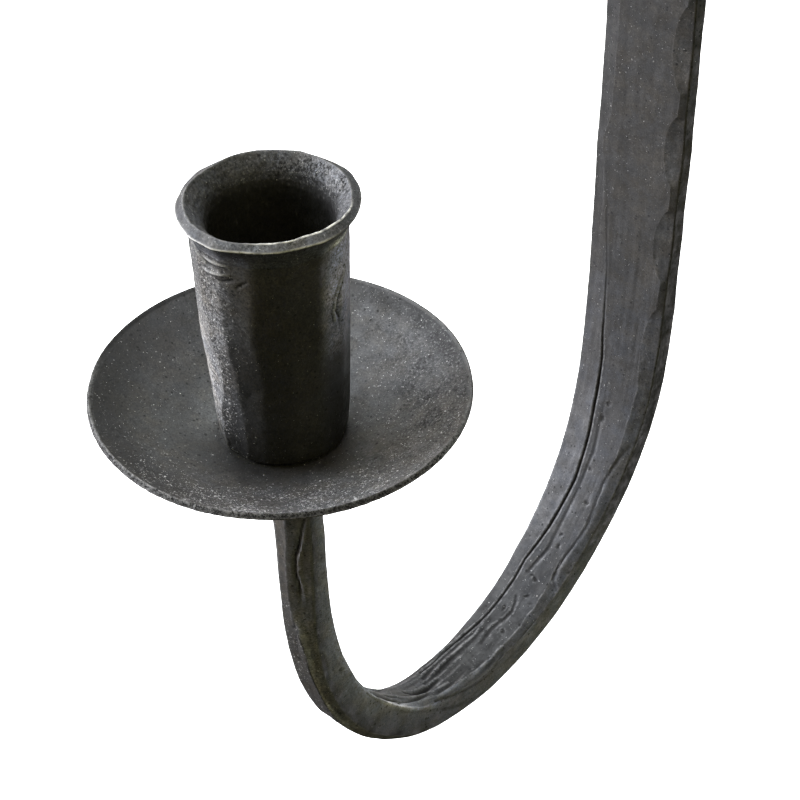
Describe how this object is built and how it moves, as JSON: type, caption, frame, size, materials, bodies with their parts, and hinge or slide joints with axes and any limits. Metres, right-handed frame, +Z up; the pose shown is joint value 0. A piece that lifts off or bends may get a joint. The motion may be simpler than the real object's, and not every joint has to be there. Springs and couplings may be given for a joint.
{
  "type": "wall candle holder",
  "caption": "Hand-forged iron wall candle holder: flat wall bar sweeping into a tapering J-shaped stem under a dished drip pan and a flared candle cup.",
  "frame": {"origin": "on the wall face, midway between the two screw holes of the wall bar", "axes": "+Z up along the wall bar and the candle's axis, +Y into the wall, +X to the right as seen from the room"},
  "size_m": [0.07, 0.1485, 0.2849],
  "materials": {
    "forged_iron": "satin, blackened, hammered",
    "sheet_iron": "satin, blackened, fine scale",
    "cup_iron": "satin, blackened, hammered",
    "fastener_steel": "satin"
  },
  "bodies": {
    "root": {"arm": "forged_iron", "drip_pan": "sheet_iron", "candle_cup": "cup_iron", "cup_floor": "cup_iron", "flat_washer": "fastener_steel", "lock_washer": "fastener_steel", "fixing_screw": "fastener_steel"}
  },
  "joints": []
}
